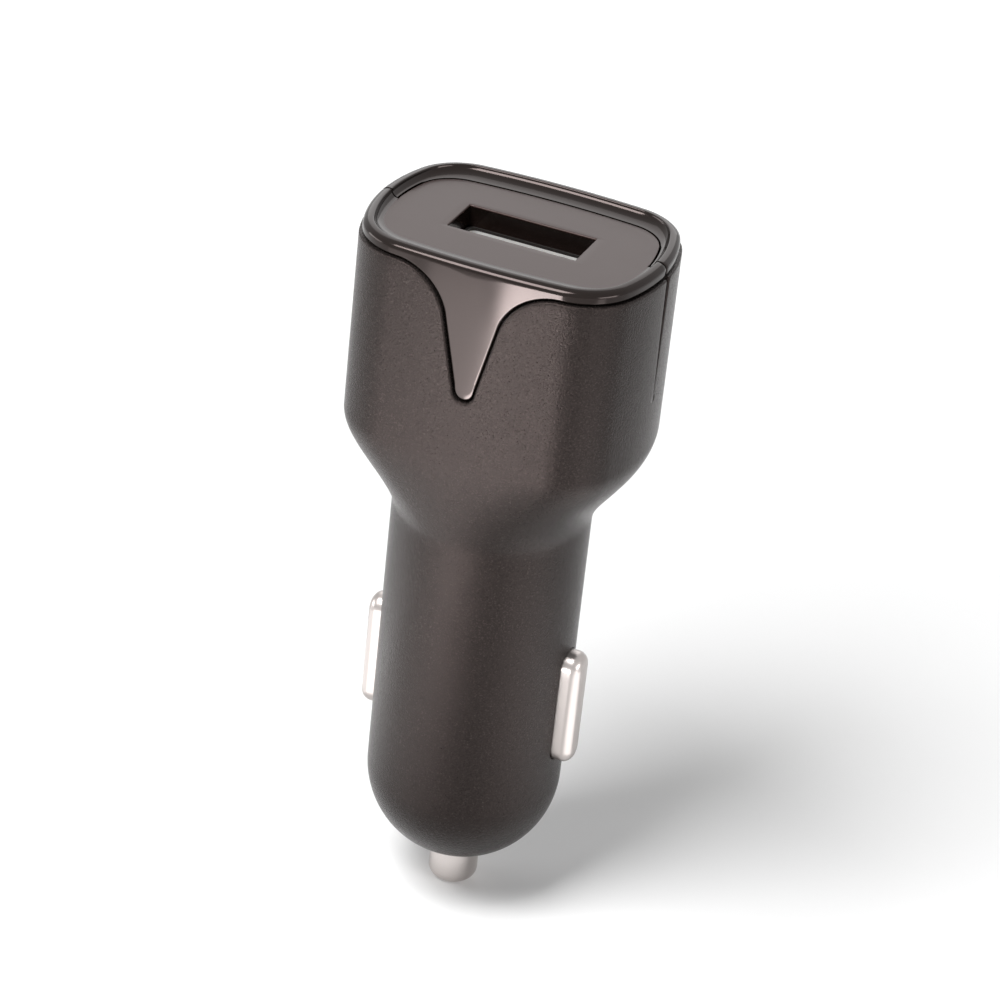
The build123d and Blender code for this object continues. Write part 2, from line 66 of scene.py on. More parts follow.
def closedPiece(name, solids, sharpDegrees=38.0, layers=None):
    # solids is a list of grids (rows, columns, 3) in mm, each with its wrap flags; caps close what stays open
    points, quads, count = [], [], 0
    for grid, wrapRows, wrapCols in solids:
        rows, cols = grid.shape[:2]
        points.append(grid.reshape(-1, 3))
        quads.append(gridFaces(rows, cols, count, wrapRows, wrapCols))
        count += rows * cols
    points, quads = np.concatenate(points) * mm, np.concatenate(quads)
    mesh = bpy.data.meshes.new(name)
    mesh.vertices.add(len(points))
    mesh.vertices.foreach_set("co", points.astype(np.float32).ravel())
    mesh.loops.add(quads.size)
    mesh.loops.foreach_set("vertex_index", quads.astype(np.int32).ravel())
    mesh.polygons.add(len(quads))
    mesh.polygons.foreach_set("loop_start", np.arange(0, quads.size, 4, dtype=np.int32))
    mesh.update(calc_edges=True)
    for layer, values in (layers or {}).items():
        attribute = mesh.attributes.new(layer, "FLOAT", "POINT")
        attribute.data.foreach_set("value", np.concatenate([v.ravel() for v in values]).astype(np.float32))
    work = bmesh.new()
    work.from_mesh(mesh)
    bmesh.ops.remove_doubles(work, verts=work.verts, dist=weldDistance * mm)
    rims = [edge for edge in work.edges if edge.is_boundary]
    if rims:
        bmesh.ops.holes_fill(work, edges=rims, sides=0)
    bmesh.ops.recalc_face_normals(work, faces=work.faces)
    work.to_mesh(mesh)
    work.free()
    mesh.shade_smooth()
    mesh.set_sharp_from_angle(angle=math.radians(sharpDegrees))
    piece = bpy.data.objects.new(name, mesh)
    bpy.context.scene.collection.objects.link(piece)
    print("  piece", name, len(mesh.vertices), "points,", len(rims), "open edges closed")
    return piece


plugShape = {
    "barrelRadius": 10.1,
    "domeHeight": 14.5,
    "neckHeight": 45.5,
    "shoulderHeight": 56.2,
    "halfWidth": 15.3,
    "halfDepth": 11.5,
    "sideRadius": 88.0,
    "endRadius": 20.3,
    "cornerRadius": 6.5,
    "depthLead": 0.6,
    "curveLead": 0.5,
    "leastCurve": 0.002,
}
arcKeys = ("sideRadius", "endRadius", "cornerRadius")


def headShare(z):  # 0 on the barrel, 1 on the head
    low, high = plugShape["neckHeight"], plugShape["shoulderHeight"]
    return softStep((z - low) / (high - low))


def outlineAt(share):
    # half width, half depth and three arc radii
    # curvatures are shared, not radii, and depth and flats run ahead of the width
    round0 = plugShape["barrelRadius"]
    width = round0 + (plugShape["halfWidth"] - round0) * share
    depth = round0 + (plugShape["halfDepth"] - round0) * share ** plugShape["depthLead"]
    curved = np.maximum(share ** plugShape["curveLead"], plugShape["leastCurve"])
    radii = [1.0 / ((1.0 - curved) / round0 + curved / plugShape[key]) for key in arcKeys]
    return [width, depth] + radii


def plateOutlineAt(width, depth):  # the same family, drawn in to the socket plate's width
    shrink = plugShape["halfWidth"] - width
    return [width, depth] + [plugShape[key] - shrink for key in arcKeys]


def arcCentres(size):
    # the corner arc touches the side arc and the end arc from inside; the two angles are where it meets them
    # its centre lies where circles of radius side - corner and end - corner round the two other centres cross
    width, depth, sideR, endR, cornerR = size
    endX, sideY = width - endR, depth - sideR
    span = np.hypot(endX, sideY)
    toSide, toEnd = sideR - cornerR, endR - cornerR
    along = (toSide**2 - toEnd**2 + span**2) / (2.0 * span)
    across = np.sqrt(np.maximum(toSide**2 - along**2, 0.0))
    stepX, stepY = endX / span, -sideY / span
    cx = stepX * along + stepY * across
    cy = sideY + stepY * along - stepX * across
    return endX, sideY, cx, cy, np.arctan2(cy, cx - endX), np.arctan2(cy - sideY, cx)


def outlinePoint(angle, size, inset):
    # point whose outward normal has this angle: arc centre plus (arc radius minus inset) times the normal
    endX, sideY, cx, cy, meetEnd, meetSide = arcCentres(size)
    c, s = np.abs(np.cos(angle)), np.abs(np.sin(angle))
    turn = np.arctan2(s, c)
    onEnd, onSide = turn < meetEnd, turn > meetSide
    radius = np.where(onEnd, size[3], np.where(onSide, size[2], size[4])) - inset
    x = np.where(onEnd, endX, np.where(onSide, 0.0, cx)) + radius * c
    y = np.where(onEnd, 0.0, np.where(onSide, sideY, cy)) + radius * s
    return x * np.sign(np.cos(angle)), y * np.sign(np.sin(angle))


columnSteps = {"across": 26, "corner": 30, "end": 9, "fineHalf": 1.4, "firstAngle": 0.03}


def columnAngles():
    # normal angles from the right end (0) round to the left end (pi), close together where the inlay hangs
    c = columnSteps
    size = outlineAt(1.0)
    meetEnd, meetSide = arcCentres(size)[4:]
    touchX = size[2] * math.cos(meetSide)
    fine = np.linspace(0.0, c["fineHalf"], c["across"])
    across = np.concatenate([fine, np.linspace(c["fineHalf"], touchX, 3 * c["across"])[1:]])
    side = np.arccos(across / size[2])[::-1]
    corner = np.linspace(meetEnd, meetSide, c["corner"])
    end = np.linspace(c["firstAngle"], meetEnd, c["end"])
    quarter = np.concatenate([end[:-1], corner[:-1], side])
    return np.concatenate([quarter, math.pi - quarter[:-1][::-1]])


def roundedStart(radius, steps):
    # quarter circle at an edge: distance from the edge r - r cos t, inset r - r sin t
    t = np.linspace(0.0, math.pi / 2.0, steps)
    return radius * (1.0 - np.cos(t)), radius * (1.0 - np.sin(t))


inlayShape = {
    "tipHeight": 62.4,
    "tipRadius": 1.0,
    "lean": math.radians(13.2),
    "shoulderRadius": 5.9,
    "edgeHeight": 75.3,
    "gap": 0.15,
    "steepest": 5.0,
}


def inlayEdge(x, gap):
    # height of the inlay's edge over x, and its slope: tip arc, straight side, shoulder arc, level edge
    lean = inlayShape["lean"]
    tip = inlayShape["tipRadius"] + gap
    shoulder = inlayShape["shoulderRadius"] - gap
    edge = inlayShape["edgeHeight"] - gap
    tipZ = inlayShape["tipHeight"] - gap + tip
    shoulderX = (shoulder + tip + (edge - shoulder - tipZ) * math.sin(lean)) / math.cos(lean)
    x = np.abs(x)
    x1, x2 = tip * math.cos(lean), shoulderX - shoulder * math.cos(lean)
    parts = [x < x1, (x >= x1) & (x < x2), (x >= x2) & (x < shoulderX)]
    tipRoot = np.sqrt(np.maximum(tip**2 - x**2, 1e-9))
    shoulderRoot = np.sqrt(np.maximum(shoulder**2 - (x - shoulderX) ** 2, 1e-9))
    line = tipZ - tip * math.sin(lean) + (x - x1) / math.tan(lean)
    z = np.select(parts, [tipZ - tipRoot, line, edge - shoulder + shoulderRoot], edge)
    slope = np.select(parts, [x / tipRoot, 1.0 / math.tan(lean), (shoulderX - x) / shoulderRoot], 0.0)
    return z, np.minimum(slope, inlayShape["steepest"])


shellShape = {
    "wall": 1.6,
    "edgeRound": 0.2,
    "seamRound": 0.18,
    "seamStart": 62.0,
    "seamTop": 76.6,
    "seamHalf": 0.34,
    "seamHalfInside": 0.03,
    "holeRadius": 2.65,
    "windowCentre": 24.95,
    "windowHalf": 1.78,
    "windowStraight": 4.8,
    "edgeReach": 0.62,  # angle over which the columns ease back from an edge
    "widestSine": 0.9,
    "headStart": 1.6,  # straight part above the shoulder before the rows follow the inlay
}
shellRows = {
    "dome": 26,
    "lowBarrel": 6,
    "window": 12,
    "windowMiddle": 10,
    "highBarrel": 14,
    "shoulder": 48,
    "head": 30,
    "lip": 5,
    "edge": 4,
}


def edgeHalfAt(z, seamHalf):
    # half of the opening between the two shells: the tapering seam, and the window round each side contact
    s = shellShape
    seam = seamHalf * np.clip((z - s["seamStart"]) / (s["seamTop"] - s["seamStart"]), 0.0, 1.0)
    past = np.maximum(np.abs(z - s["windowCentre"]) - s["windowStraight"], 0.0)
    return np.maximum(seam, np.sqrt(np.maximum(s["windowHalf"] ** 2 - past**2, 0.0)))


def shellHalf(name, side):
    # rows climb the dome, barrel, shoulder and head, and the top row follows the inlay's edge
    # columns turn round the outline, with a rounded group of edge columns at each end
    s, steps = shellShape, shellRows
    edge = steps["edge"]
    radius, dome = plugShape["barrelRadius"], plugShape["domeHeight"]
    domeTurn = np.linspace(math.asin(s["holeRadius"] / radius), math.pi / 2.0, steps["dome"])
    arc = np.linspace(0.0, math.pi / 2.0, steps["window"])
    low = s["windowCentre"] - s["windowStraight"] - s["windowHalf"] * np.cos(arc)
    high = s["windowCentre"] + s["windowStraight"] + s["windowHalf"] * np.sin(arc)
    middle = np.linspace(low[-1], high[0], steps["windowMiddle"])[1:-1]
    neck, shoulderTop = plugShape["neckHeight"], plugShape["shoulderHeight"]
    under = np.linspace(dome, low[0], steps["lowBarrel"])[1:-1]
    over = np.linspace(high[-1], neck, steps["highBarrel"])[1:-1]
    shoulder = np.linspace(neck, shoulderTop, steps["shoulder"])
    start = [shoulderTop + s["headStart"] / 2.0, shoulderTop + s["headStart"]]
    bowl = dome - radius * np.cos(domeTurn)
    levels = np.concatenate([bowl, under, low, middle, high, over, shoulder, start])
    slant = np.concatenate([domeTurn, np.full(len(levels) - len(domeTurn), math.pi / 2.0)])

    edgeD, edgeInset = roundedStart(1.0, edge)
    turns = columnAngles()
    topD, topInset = roundedStart(s["edgeRound"], steps["lip"])
    base = levels[-1]
    headX = outlinePoint(turns, outlineAt(1.0), 0.0)[0]
    edgeX = np.concatenate([np.full(edge, headX[0]), headX, np.full(edge, headX[-1])])
    topZ, slope = inlayEdge(edgeX, inlayShape["gap"])
    stretch = np.sqrt(1.0 + slope**2)
    climb = np.linspace(0.0, 1.0, steps["head"])[1:, None]
    below = topZ - topD[-1] * stretch
    head = base + (below - base) * climb
    lip = topZ - topD[::-1][1:, None] * stretch
    z = np.concatenate([np.repeat(levels[:, None], len(edgeX), 1), head, lip])
    rows = len(z)
    slant = np.concatenate([slant, np.full(rows - len(slant), math.pi / 2.0)])[:, None]
    insetV = np.concatenate([np.zeros(rows - len(topD) + 1), topInset[::-1][1:]])[:, None]

    size = outlineAt(headShare(z))
    plain = np.concatenate([turns[:1].repeat(edge), turns, turns[-1:].repeat(edge)])
    fromEnd = np.minimum(plain, math.pi - plain)
    half = edgeHalfAt(z, s["seamHalf"])
    seamRound = np.minimum(s["seamRound"], half + 1e-4)
    first, last = np.s_[:, :edge], np.s_[:, -edge:]
    insetU = np.zeros_like(z)
    insetU[first] = seamRound[first] * edgeInset
    insetU[last] = seamRound[last] * edgeInset[::-1]

    def turnsPast(half):  # normal angles with the two edge groups moved back by the opening
        opening = np.arcsin(np.minimum(half / size[3], s["widestSine"]))
        pushed = fromEnd + opening * (1.0 - softStep(fromEnd / s["edgeReach"]))
        pushed[first] = opening[first] + seamRound[first] * edgeD / size[3][first]
        pushed[last] = opening[last] + seamRound[last] * edgeD[::-1] / size[3][last]
        return side * np.where(plain < math.pi / 2.0, pushed, math.pi - pushed)

    def skin(inset, angle):  # the outline where the wall is upright, the sphere where it is domed
        x, y = outlinePoint(angle, size, inset)
        ball = radius - inset
        domed = np.broadcast_to(slant < math.pi / 2.0 - 1e-6, z.shape)
        x = np.where(domed, ball * np.sin(slant) * np.cos(angle), x)
        y = np.where(domed, ball * np.sin(slant) * np.sin(angle), y)
        return np.stack([x, y, np.where(domed, dome - ball * np.cos(slant), z)], axis=-1)

    outer = skin(insetU + insetV, turnsPast(half))
    inner = skin(np.full_like(z, s["wall"]), turnsPast(edgeHalfAt(z, s["seamHalfInside"])))
    return closedPiece(name, wallGrids(outer, inner))


def wallGrids(outer, inner):
    # outer skin, inner skin and the four strips between their borders
    grids = [(outer, False, False), (inner, False, False)]
    for border in (np.s_[0], np.s_[-1], np.s_[:, 0], np.s_[:, -1]):
        grids.append((np.stack([outer[border], inner[border]]), False, False))
    return grids


trimShape = {
    "inset": 0.3,
    "skin": 0.8,
    "rimTop": 76.6,
    "rimFlat": 1.1,
    "outerRound": 0.9,
    "outerDrop": 0.65,
    "innerRound": 0.14,
    "edgeRound": 0.22,
    "plateHeight": 75.8,
    "plateWidth": 13.1,
    "plateDepth": 8.1,
    "plateGap": 0.2,
    "plateBottom": 73.6,
    "plateRearRamp": 8.0,
    "backInset": 2.0,
    "backDrop": 1.0,
    "seamHalf": 0.12,
    "slotWidth": 13.3,
    "slotDepth": 5.4,
    "slotRound": 0.16,
    "slotShadeStart": 1.3,  # in slot rounds: how far down the slot's wall the plate's finish ends; below it the darker gloss colour is a painted shade in the slot
    "plateRound": 0.1,
}


def trimRing(side, withGap):
    # closed section carried round one half: inlay skin, rounded rim, flat top, cove, and back underneath
    t = trimShape
    turns = columnAngles()
    edgeD, edgeInset = roundedStart(t["seamHalf"], 3)
    size = outlineAt(1.0)
    ends = (t["seamHalf"] + edgeD) / size[3]
    angle = side * np.concatenate([ends, turns, math.pi - ends[::-1]])
    insetU = np.zeros(len(angle))
    insetU[:3], insetU[-3:] = edgeInset, edgeInset[::-1]
    x = outlinePoint(angle, size, t["inset"])[0]
    low, slope = inlayEdge(x, 0.0)
    stretch = np.sqrt(1.0 + slope**2)
    rows = []

    def add(rowSize, inset, z, plate=0.0):
        px, py = outlinePoint(angle, rowSize, inset + insetU)
        pz = np.broadcast_to(z, px.shape)
        rows.append((np.stack([px, py, pz], axis=-1), np.full(len(angle), plate)))

    add(size, t["inset"] + t["skin"], low)
    d, inset = roundedStart(t["edgeRound"], 5)
    for k in range(5):
        add(size, t["inset"] + inset[k], low + d[k] * stretch)
    start = low + d[-1] * stretch
    stop = t["rimTop"] - t["outerDrop"]
    for share in np.linspace(0.0, 1.0, 26)[1:]:
        add(size, t["inset"], start + (stop - start) * share)
    for turn in np.linspace(0.0, math.pi / 2.0, 14)[1:]:
        inset = t["inset"] + t["outerRound"] * (1.0 - math.cos(turn))
        add(size, inset, stop + t["outerDrop"] * math.sin(turn))
    inner = t["inset"] + t["rimFlat"]
    add(size, inner - t["innerRound"], t["rimTop"])
    for turn in np.linspace(0.0, math.pi / 2.0, 5)[1:]:
        drop = t["innerRound"] * (1.0 - math.cos(turn))
        add(size, inner - t["innerRound"] * (1.0 - math.sin(turn)), t["rimTop"] - drop)
    rise = t["rimTop"] - t["plateHeight"]
    rimWide, rimDeep = size[0] - inner, size[1] - inner
    edgeX, edgeY = outlinePoint(angle, plateOutlineAt(rimWide, rimDeep), 0.0)
    plateX, plateY = outlinePoint(angle, plateOutlineAt(t["plateWidth"], t["plateDepth"]), 0.0)
    reach = np.hypot(edgeX - plateX, edgeY - plateY)
    last = t["plateGap"] / reach if withGap else 0.0 * reach
    first = math.acos(t["innerRound"] / rise)
    for k in np.linspace(0.0, 1.0, 15)[1:]:
        share = np.sin(first * (1.0 - k))
        share = last + (1.0 - last) * share / math.sin(first)
        z = t["plateHeight"] + rise * (1.0 - np.sqrt(np.maximum(1.0 - (share * math.sin(first)) ** 2, 0.0)))
        px, py = plateX + (edgeX - plateX) * share, plateY + (edgeY - plateY) * share
        flat = float(k == 1.0 and not withGap)
        rows.append((np.stack([px, py, z], axis=-1), np.full(len(angle), flat)))
    tail = rows[-1][0].copy()
    tail[:, 2] = t["plateHeight"] - t["backDrop"]
    rows.append((tail, np.zeros(len(angle))))
    add(size, t["backInset"], t["plateHeight"] - t["backDrop"])
    add(size, t["backInset"], inlayShape["edgeHeight"])
    add(size, t["inset"] + t["skin"], np.maximum(low, inlayShape["edgeHeight"]))
    grid = np.stack([row[0] for row in rows])
    return grid, np.stack([row[1] for row in rows])


def slotPoints(angle, plateX, plateY):
    # where the ray through each plate edge point meets the slot, the nearest column moved to each corner
    halfX, halfY = trimShape["slotWidth"] / 2.0, trimShape["slotDepth"] / 2.0
    reach = np.minimum(halfX / np.maximum(np.abs(plateX), 1e-6), halfY / np.maximum(np.abs(plateY), 1e-6))
    x, y = plateX * reach, plateY * reach
    for cornerX in (-halfX, halfX):
        for cornerY in (-halfY, halfY):
            near = np.argmin(np.hypot(x - cornerX, y - cornerY))
            x[near], y[near] = cornerX, cornerY
    outX = np.where(np.abs(np.abs(x) - halfX) < 1e-6, np.sign(x), 0.0)
    outY = np.where(np.abs(np.abs(y) - halfY) < 1e-6, np.sign(y), 0.0)
    return x, y, outX, outY


def socketPlate():
    # rings from the plate's edge in to the slot, down its wall, and back underneath
    t = trimShape
    turns = columnAngles()
    angle = np.concatenate([[0.0], turns, [math.pi], math.pi + turns])
    outline = plateOutlineAt(t["plateWidth"], t["plateDepth"])
    rear = np.clip(np.sin(angle) * t["plateRearRamp"], 0.0, 1.0)
    plateX, plateY = outlinePoint(angle, outline, 0.0)
    slotX, slotY, outX, outY = slotPoints(angle, plateX, plateY)
    rows, finish = [], []

    def add(x, y, z, plate):
        rows.append(np.stack([x, y, np.broadcast_to(z, x.shape)], axis=-1))
        finish.append(np.full(len(x), plate))

    add(plateX, plateY, t["plateBottom"], 0.0)
    d, inset = roundedStart(t["plateRound"], 5)
    for k in range(5):
        px, py = outlinePoint(angle, outline, rear * d[k])
        add(px, py, t["plateHeight"] - rear * inset[k], 1.0)
    fromX, fromY = outlinePoint(angle, outline, t["plateRound"])
    r = t["slotRound"]
    for share in np.linspace(0.0, 1.0, 8):
        px = fromX + (slotX + outX * r - fromX) * share
        py = fromY + (slotY + outY * r - fromY) * share
        add(px, py, t["plateHeight"], 1.0)
    for turn in np.linspace(0.0, math.pi / 2.0, 6)[1:]:
        grow = r * (1.0 - math.sin(turn))
        add(slotX + outX * grow, slotY + outY * grow, t["plateHeight"] - r * (1.0 - math.cos(turn)), 1.0)
    # from here down, the slot's wall takes the darker gloss colour as a painted shade in the slot
    add(slotX, slotY, t["plateHeight"] - t["slotShadeStart"] * r, 0.0)
    add(slotX, slotY, t["plateBottom"], 0.3)
    return np.stack(rows), np.stack(finish)


print("stage: shells")
frontShell = shellHalf("frontShell", -1.0)
rearShell = shellHalf("rearShell", 1.0)

print("stage: trims")
ring, ringFinish = trimRing(-1.0, False)
plate, plateFinish = socketPlate()
frontSolids = [(ring, True, False), (plate, True, True)]
frontTrim = closedPiece("frontTrim", frontSolids, layers={"plate": [ringFinish, plateFinish]})
ring, ringFinish = trimRing(1.0, True)
rearTrim = closedPiece("rearTrim", [(ring, True, False)], layers={"plate": [ringFinish]})


tipShape = {
    "radius": 2.58,
    "endRound": 1.3,
    "crown": 0.06,
    "shaftStart": 3.0,
    "flange": 4.1,
    "flangeLow": 6.6,
    "flangeHigh": 7.8,
    "flangeBevel": 0.15,
    "pegRadius": 1.6,
    "pegTop": 9.6,
}
sideShape = {
    "centre": 24.95,
    "length": 13.0,
    "width": 3.4,
    "reach": 11.95,
    "round": 1.1,
    "crown": 0.05,
    "faceStart": 8.6,
    "flangeFace": 7.9,
    "flangeBack": 7.1,
    "flangeWider": 0.7,
}


def turnedTip():
    # profile (radius, height) turned round the axis: crowned end, rounded corner, shaft, flange and peg
    t = tipShape
    flat = t["radius"] - t["endRound"]
    r, z = [], []
    for share in np.linspace(0.0, 1.0, 8)[:-1]:
        r.append(flat * share)
        z.append(t["crown"] * share**2)
    for turn in np.linspace(0.0, math.pi / 2.0, 14):
        r.append(flat + t["endRound"] * math.sin(turn))
        z.append(t["crown"] + (t["endRound"] - t["crown"]) * (1.0 - math.cos(turn)))
    low, high, bevel = t["flangeLow"], t["flangeHigh"], t["flangeBevel"]
    rim, peg = t["flange"], t["pegRadius"]
    r += [t["radius"], t["radius"], rim - bevel, rim, rim, rim - bevel, peg, peg, 0.0]
    z += [t["shaftStart"], low, low, low + bevel, high - bevel, high, high, t["pegTop"], t["pegTop"]]
    turn = np.linspace(0.0, 2.0 * math.pi, 97)[:-1]
    r, z = np.array(r)[:, None], np.array(z)[:, None]
    grid = np.stack([r * np.cos(turn), r * np.sin(turn), z + 0.0 * turn], axis=-1)
    return closedPiece("tipContact", [(grid, False, True)])


def sideContact(name, side):
    # rounded bar: an upright slot outline drawn in by each row's inset, at each row's distance from the axis
    s = sideShape
    half, straight = s["width"] / 2.0, (s["length"] - s["width"]) / 2.0
    arc = np.linspace(0.0, math.pi, 25)
    line = np.linspace(1.0, -1.0, 14)[1:-1]
    onLine, onArc = np.ones(len(line)), np.ones(len(arc))
    unitY = np.concatenate([np.cos(arc), -onLine, -np.cos(arc), onLine])
    unitZ = np.concatenate([np.sin(arc), 0.0 * onLine, -np.sin(arc), 0.0 * onLine])
    shiftZ = straight * np.concatenate([onArc, line, -onArc, -line])
    wider, back, face = -s["flangeWider"], s["flangeBack"], s["flangeFace"]
    rows = [(half, back), (wider, back), (wider, face), (0.0, face)]
    rows += [(0.0, x) for x in np.linspace(s["faceStart"], s["reach"] - s["round"], 5)]
    for turn in np.linspace(0.0, math.pi / 2.0, 14)[1:]:
        out = s["reach"] - s["crown"] - s["round"] + s["round"] * math.sin(turn)
        rows.append((s["round"] * (1.0 - math.cos(turn)), out))
    for share in np.linspace(0.0, 1.0, 7)[1:]:
        out = s["reach"] - s["crown"] * (1.0 - share) ** 2
        rows.append((s["round"] + (half - s["round"]) * share, out))
    inset, x = np.array(rows)[:, 0:1], np.array(rows)[:, 1:2]
    y = (half - inset) * unitY
    z = s["centre"] + shiftZ + (half - inset) * unitZ
    return closedPiece(name, [(np.stack([side * x + 0.0 * y, y, z], axis=-1), False, True)])


print("stage: contacts")
tipContact = turnedTip()
rightContact = sideContact("rightContact", 1.0)
leftContact = sideContact("leftContact", -1.0)


class Socket:  # a number or link in a material, with arithmetic that adds Math nodes
    def __init__(self, tree, link):
        self.tree, self.link = tree, link

    def node(self, kind, settings=None, output=0, **inputs):
        made = self.tree.nodes.new(kind)
        for key, value in (settings or {}).items():
            setattr(made, key, value)
        for key, value in inputs.items():
            target = made.inputs[int(key[1:]) if key[1:].isdigit() else key.replace("_", " ")]
            if isinstance(value, Socket):
                self.tree.links.new(value.link, target)
            else:
                target.default_value = value
        return Socket(self.tree, made.outputs[output])

    def maths(self, operation, a, b=0.0):
        return self.node("ShaderNodeMath", {"operation": operation}, i0=a, i1=b)

    def __add__(self, other):
        return self.maths("ADD", self, other)

    def __radd__(self, other):
        return self.maths("ADD", other, self)

    def __sub__(self, other):
        return self.maths("SUBTRACT", self, other)

    def __rsub__(self, other):
        return self.maths("SUBTRACT", other, self)

    def __mul__(self, other):
        return self.maths("MULTIPLY", self, other)

    def __rmul__(self, other):
        return self.maths("MULTIPLY", other, self)

    def __lt__(self, other):
        return self.maths("LESS_THAN", self, other)


def startMaterial(name, **shaderValues):
    # a new material with its shader's plain values set, and Object coordinates as a start for patterns
    material = bpy.data.materials.new(name)
    material.use_nodes = True
    tree = material.node_tree
    shader = tree.nodes["Principled BSDF"]
    for key, value in shaderValues.items():
        shader.inputs[key.replace("_", " ")].default_value = value
    place = tree.nodes.new("ShaderNodeTexCoord")
    return material, shader, Socket(tree, place.outputs["Object"])


def feed(shader, name, value):
    value.tree.links.new(value.link, shader.inputs[name])


def noise(place, scale, detail=2.0, roughness=0.5):
    return place.node("ShaderNodeTexNoise", Vector=place, Scale=scale, Detail=detail, Roughness=roughness)


def mixColour(factor, a, b):
    a, b = tuple(a) + (1.0,), tuple(b) + (1.0,)
    return factor.node("ShaderNodeMix", {"data_type": "RGBA"}, output=2, i0=factor, i6=a, i7=b)


def bump(height, strength, distance):
    return height.node("ShaderNodeBump", Height=height, Strength=strength, Distance=distance)


matteFinish = {
    "dark": (0.0015, 0.0012, 0.0011),
    "light": (0.0260, 0.0212, 0.0198),
    "toneAndSparkleContrast": 3.2,
    "tint": (1.0, 0.78, 0.73),
    "specular": 0.17,
    "roughness": 0.25,
    "grainSize": 0.18,
    "fineShare": 2.3,  # how many fine grains go on a grain's width
    "grainDepth": 0.085,
    "cloudScale": 90.0,
}
glossFinish = {
    "colour": (0.0060, 0.0044, 0.0036),
    "tint": (1.0, 0.82, 0.79),
    "roughness": 0.13,
    "specular": 0.28,
    "plateColour": (0.0180, 0.0085, 0.0070),
    "plateRoughness": 0.30,
}
# the side contacts' colour is the pin's nickel made darker, a painted shade; both are the same plating
nickelFinish = {
    "contact": (0.42, 0.385, 0.37),
    "contactRoughness": 0.32,
    "pin": (0.62, 0.575, 0.555),
    "pinRoughness": 0.2,
    "grain": 0.12,
    "wornShare": 0.93,
}


def matteShell():
    # spark-eroded mould texture: two sizes of grain with tone that differs at random, lighter on their tops
    # as a painted sparkle and rougher there, and a faint cloud
    f = matteFinish
    plain = {"Specular_Tint": f["tint"] + (1.0,), "Specular_IOR_Level": f["specular"]}
    material, shader, place = startMaterial("matteShell", **plain)
    grain = noise(place, 1.0 / (f["grainSize"] * mm), 2.0, 0.55)
    fine = noise(place, f["fineShare"] / (f["grainSize"] * mm), 1.0, 0.5)
    cloud = noise(place, f["cloudScale"], 3.0, 0.5)
    height = grain * 0.75 + fine * 0.25
    # grain colour: partly the grain's own random tone, partly painted sparkle, lighter where the grain stands
    # highest
    toneAndSparkle = (grain * 0.6 + fine * 0.4 - 0.5) * f["toneAndSparkleContrast"] + 0.5
    shade = toneAndSparkle * 0.8 + cloud * 0.2
    feed(shader, "Base Color", mixColour(shade, f["dark"], f["light"]))
    feed(shader, "Roughness", grain * 0.16 + cloud * 0.06 + (f["roughness"] - 0.11))
    feed(shader, "Normal", bump(height, 1.0, f["grainDepth"] * mm))
    return material


def glossTrim():
    # polished rim and inlay, with the socket plate's finer satin where the plate attribute is 1
    f = glossFinish
    plain = {"Specular_Tint": f["tint"] + (1.0,), "Specular_IOR_Level": f["specular"]}
    material, shader, place = startMaterial("glossTrim", **plain)
    plateMask = place.node("ShaderNodeAttribute", {"attribute_name": "plate"}, output=2)
    cloud = noise(place, 400.0, 2.0, 0.5)
    texture = noise(place, 9000.0, 2.0, 0.5)
    # on the slot's wall, where the plate attribute is 0, the gloss colour is a painted shade
    feed(shader, "Base Color", mixColour(plateMask, f["colour"], f["plateColour"]))
    rougher = plateMask * (f["plateRoughness"] - f["roughness"])
    feed(shader, "Roughness", rougher + cloud * 0.03 + (f["roughness"] - 0.015))
    feed(shader, "Normal", bump(texture * plateMask, 0.35, 0.006 * mm))
    return material


def plated(name, colour, roughness, grain):
    # plated metal: faint upright streaks and a little wear in the plating
    material, shader, place = startMaterial(name, Metallic=1.0)
    upright = place.node("ShaderNodeMapping", Vector=place, Scale=(1.0, 1.0, 0.06))
    streak = noise(upright, 2600.0, 2.0, 0.5)
    cloud = noise(place, 500.0, 3.0, 0.6)
    darker = tuple(c * nickelFinish["wornShare"] for c in colour)
    feed(shader, "Base Color", mixColour(cloud, darker, colour))
    feed(shader, "Roughness", streak * 0.08 + cloud * 0.06 + (roughness - 0.07))
    feed(shader, "Normal", bump(streak, grain, 0.004 * mm))
    return material


socketFinish = {
    "colour": (0.92, 0.91, 0.90),
    "paintedMouthShade": (0.02, 0.018, 0.017),
    "paintedShadeHeight": 73.3,
    "metallic": 0.3,
    "roughness": 0.45,
}


def socketShell():
    # tin plate, nearly white, with a painted shade round the mouth: a dark colour band above the set height,
    # where shade falls
    f = socketFinish
    material, shader, place = startMaterial("socketShell")
    height = place.node("ShaderNodeSeparateXYZ", output=2, Vector=place)
    # above this height the colour is painted shade, not the tin's own colour
    tin = height < f["paintedShadeHeight"] * mm
    cloud = noise(place, 700.0, 3.0, 0.6)
    feed(shader, "Base Color", mixColour(tin * (cloud * 0.1 + 0.9), f["paintedMouthShade"], f["colour"]))
    feed(shader, "Metallic", tin * f["metallic"])
    feed(shader, "Roughness", cloud * 0.1 + (f["roughness"] - 0.05))
    return material


def moulded(name, dark, light, roughness):
    # plain moulded or pressed material: light mottling and a fine surface
    material, shader, place = startMaterial(name)
    mottle = noise(place, 1800.0, 3.0, 0.6)
    feed(shader, "Base Color", mixColour(mottle, dark, light))
    feed(shader, "Roughness", mottle * 0.12 + (roughness - 0.06))
    feed(shader, "Normal", bump(mottle, 0.3, 0.01 * mm))
    return material


boardColours = {
    "mask": (0.012, 0.085, 0.03),
    "overCopper": (0.02, 0.16, 0.06),
    "runScale": 420.0,
    "runShare": 0.42,
}


